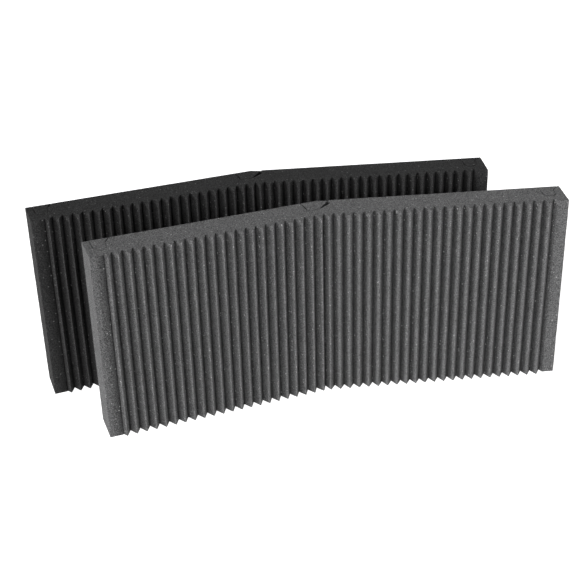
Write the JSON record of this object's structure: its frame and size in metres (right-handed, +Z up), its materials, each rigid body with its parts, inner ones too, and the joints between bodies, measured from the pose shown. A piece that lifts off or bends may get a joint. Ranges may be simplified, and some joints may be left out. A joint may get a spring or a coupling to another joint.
{
  "type": "microphone isolation shield",
  "caption": "Pair of bent acoustic-foam panels with vertical wedges on the concave side, to stand behind a microphone and absorb room sound.",
  "frame": {"origin": "middle of the pair's footprint, on the surface the panels stand on", "axes": "+X along the panels to the right as seen from the wedges, +Y from the wedges to the backs, +Z up"},
  "size_m": [0.672, 0.207, 0.254],
  "materials": {
    "charcoal_foam": "open-cell foam, matt",
    "black_foam": "open-cell foam, matt"
  },
  "bodies": {
    "front_left": {"front_wing_left": "charcoal_foam"},
    "front_right": {"front_wing_right": "charcoal_foam"},
    "front_plug_left": {"front_core_left": "charcoal_foam"},
    "front_plug_middle": {"front_core_middle": "charcoal_foam"},
    "front_plug_right": {"front_core_right": "charcoal_foam"},
    "rear_left": {"rear_wing_left": "black_foam"},
    "rear_right": {"rear_wing_right": "black_foam"},
    "rear_plug_left": {"rear_core_left": "black_foam"},
    "rear_plug_middle": {"rear_core_middle": "black_foam"},
    "rear_plug_right": {"rear_core_right": "black_foam"}
  },
  "joints": [
    {"name": "front_bend", "type": "hinge", "parent": "front_left", "child": "front_right", "pos_m": [0.02269, -0.05543, 0.127], "axis": [0, 0, -1], "range_deg": [-1.5, 20], "stiffness_Nm_per_rad": 0.1},
    {"name": "front_pull_left", "type": "slide", "parent": "front_left", "child": "front_plug_left", "axis": [-0.1288, 0.9917, 0], "range_m": [0, 0.045]},
    {"name": "front_pull_middle", "type": "slide", "parent": "front_left", "child": "front_plug_middle", "axis": [-0.1288, 0.9917, 0], "range_m": [0, 0.045]},
    {"name": "front_pull_right", "type": "slide", "parent": "front_right", "child": "front_plug_right", "axis": [0.1288, 0.9917, 0], "range_m": [0, 0.045]},
    {"name": "rear_place", "type": "slide", "parent": "front_left", "child": "rear_left", "axis": [0, 1, 0], "range_m": [0, 0.15]},
    {"name": "rear_bend", "type": "hinge", "parent": "rear_left", "child": "rear_right", "pos_m": [-0.0393, 0.06357, 0.127], "axis": [0, 0, -1], "range_deg": [-1.5, 8], "stiffness_Nm_per_rad": 0.1},
    {"name": "rear_pull_left", "type": "slide", "parent": "rear_left", "child": "rear_plug_left", "axis": [-0.1288, 0.9917, 0], "range_m": [0, 0.045]},
    {"name": "rear_pull_middle", "type": "slide", "parent": "rear_left", "child": "rear_plug_middle", "axis": [-0.1288, 0.9917, 0], "range_m": [0, 0.045]},
    {"name": "rear_pull_right", "type": "slide", "parent": "rear_right", "child": "rear_plug_right", "axis": [0.1288, 0.9917, 0], "range_m": [0, 0.045]}
  ]
}
